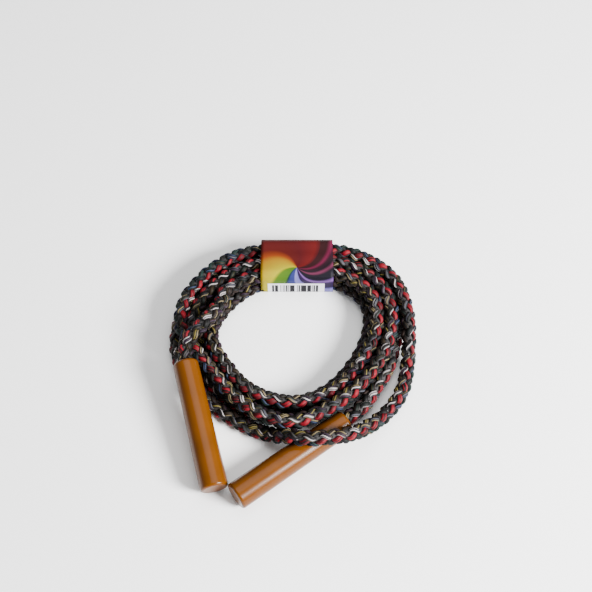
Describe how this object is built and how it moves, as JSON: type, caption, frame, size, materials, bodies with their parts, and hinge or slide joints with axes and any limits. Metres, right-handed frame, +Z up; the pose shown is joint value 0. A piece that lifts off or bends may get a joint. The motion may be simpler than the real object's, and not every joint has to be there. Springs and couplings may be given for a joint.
{
  "type": "skipping rope",
  "caption": "Skipping rope, coiled for sale: thick multi-coloured braided rope held by a printed card band, with tapered glossy plastic handles that spin on the rope's ends.",
  "frame": {"origin": "middle of the footprint of the handles and the card band, on the surface the coil lies on", "axes": "+Z up from the surface, +Y towards the card band on the coil's far side, handles towards -Y, +X to the right seen from the handles"},
  "size_m": [0.1855, 0.2128, 0.0362],
  "materials": {
    "braided_rope": "braided polypropylene in dark green, navy and brown with red, white and yellow flecks",
    "handle_plastic": "glossy orange",
    "plug_plastic": "glossy orange",
    "washer_steel": "satin",
    "ferrule_aluminium": "satin",
    "printed_card": "printed with many-coloured stripes, semi-gloss"
  },
  "bodies": {
    "rope": {"rope_coil": "braided_rope", "rope_tail_left": "braided_rope", "rope_loose_turn": "braided_rope", "rope_tail_right": "braided_rope", "left_washer": "washer_steel", "left_ferrule": "ferrule_aluminium", "right_washer": "washer_steel", "right_ferrule": "ferrule_aluminium", "card_band": "printed_card"},
    "left_handle": {"left_handle_shell": "handle_plastic", "left_end_plug": "plug_plastic"},
    "right_handle": {"right_handle_shell": "handle_plastic", "right_end_plug": "plug_plastic"}
  },
  "joints": [
    {"name": "left_handle_spin", "type": "hinge", "parent": "rope", "child": "left_handle", "pos_m": [-0.05532, -0.00243, 0.0222], "axis": [0.2512, -0.9594, -0.1282], "continuous": true},
    {"name": "right_handle_spin", "type": "hinge", "parent": "rope", "child": "right_handle", "pos_m": [0.05918, -0.04283, 0.00911], "axis": [-0.8051, -0.593, 0.0084], "continuous": true}
  ]
}
